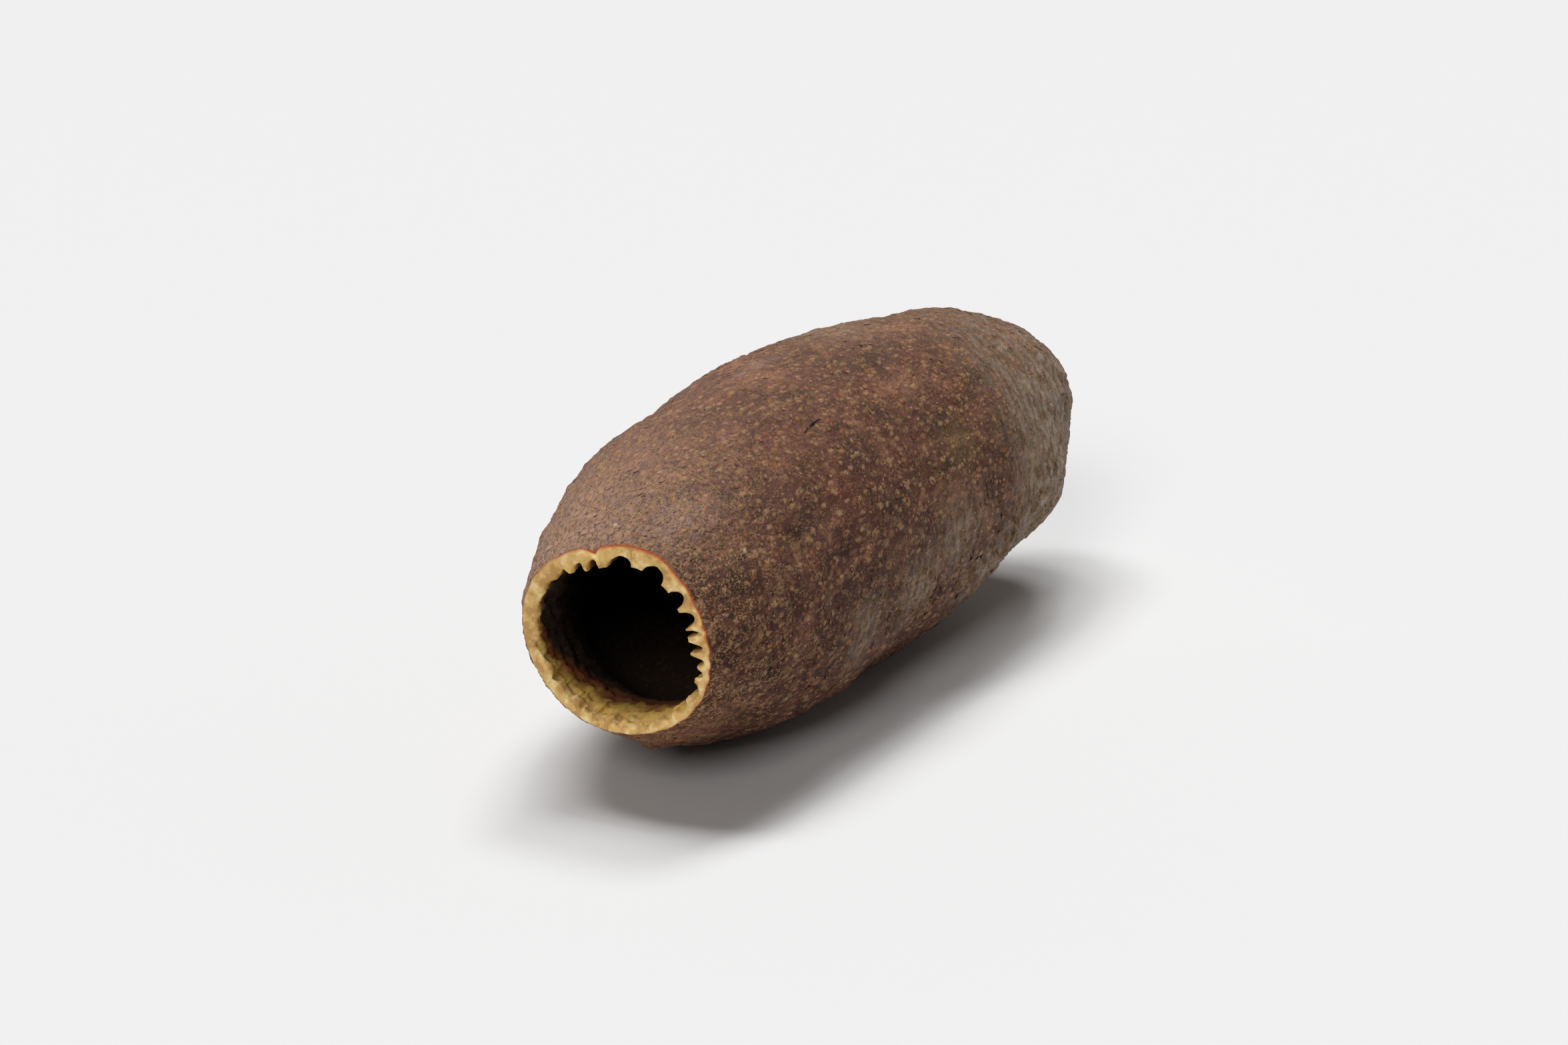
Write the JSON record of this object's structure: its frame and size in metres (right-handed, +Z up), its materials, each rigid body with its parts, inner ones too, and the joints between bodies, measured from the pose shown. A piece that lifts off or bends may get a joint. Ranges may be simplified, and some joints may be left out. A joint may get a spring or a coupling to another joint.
{
  "type": "jequitiba pod",
  "caption": "Empty woody fruit case: a blunt bowed barrel with an open round mouth, whose fluted rim once held a lid.",
  "frame": {"origin": "on the surface the pod lies on, under the middle of its bounding box", "axes": "+Y along the pod, from the mouth to the stalk end; +Z up"},
  "size_m": [0.0348, 0.1004, 0.037],
  "materials": {
    "bark": "dull red-brown bark with corky tan flecks"
  },
  "bodies": {
    "root": {"pod": "bark"}
  },
  "joints": []
}
